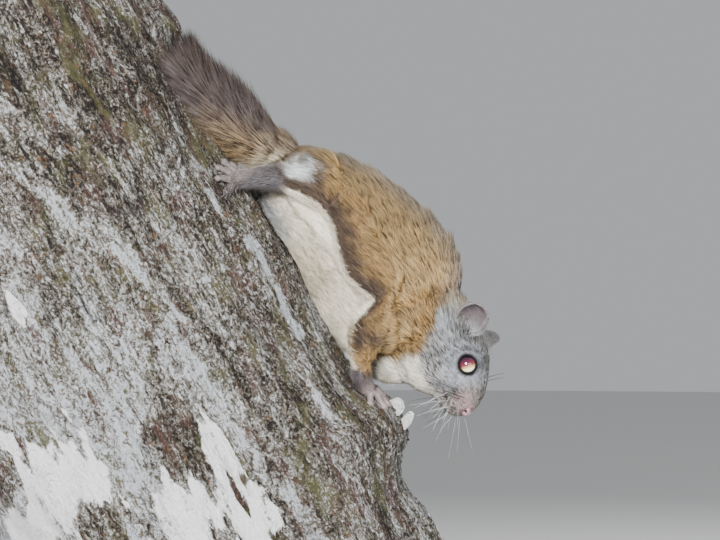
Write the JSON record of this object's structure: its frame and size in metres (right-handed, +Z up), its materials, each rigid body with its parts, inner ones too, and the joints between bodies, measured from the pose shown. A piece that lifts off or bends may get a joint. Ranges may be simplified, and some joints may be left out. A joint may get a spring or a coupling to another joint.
{
  "type": "flying squirrel on a cut length of trunk",
  "caption": "Still, life-size flying squirrel clinging head down to a cut length of slanting tree trunk, held on a plain display stand.",
  "frame": {"origin": "centre of the stand base's underside", "axes": "+Z up, -Y towards the side that the picture shows, +X to the right of that view"},
  "size_m": [0.3488, 0.1921, 0.4109],
  "materials": {
    "back_fur": "short dense golden brown fur with dark flecks",
    "head_fur": "short grey fur, paler on cheeks and throat",
    "membrane_fur": "dark brown fur with a thin pale rim, cream below",
    "limb_fur": "short fur, golden to mauve grey towards the feet",
    "tail_fur": "long soft flattened fur, golden at the root to grey at the end",
    "foot_skin": "bare pink skin with fine hair",
    "ear_skin": "thin grey skin, pale pink inside",
    "eye_glass": "wet gloss, near black with a warm red glow",
    "bark": "rough grey bark with pale lichen, sawn ends",
    "stand_wood": "satin dark stained wood",
    "stand_metal": "satin brushed steel"
  },
  "bodies": {
    "root": {"torso": "back_fur", "neck": "back_fur", "head": "head_fur", "patagium_left": "membrane_fur", "patagium_right": "membrane_fur", "foreleg_left": "limb_fur", "foreleg_right": "limb_fur", "hindleg_left": "limb_fur", "hindleg_right": "limb_fur", "tail": "tail_fur", "forefoot_left": "foot_skin", "forefoot_right": "foot_skin", "hindfoot_left": "foot_skin", "hindfoot_right": "foot_skin", "ear_left": "ear_skin", "ear_right": "ear_skin", "eye_left": "eye_glass", "eye_right": "eye_glass", "perch_trunk": "bark", "stand_base": "stand_wood", "stand_rod_1": "stand_metal", "stand_rod_2": "stand_metal"}
  },
  "joints": []
}
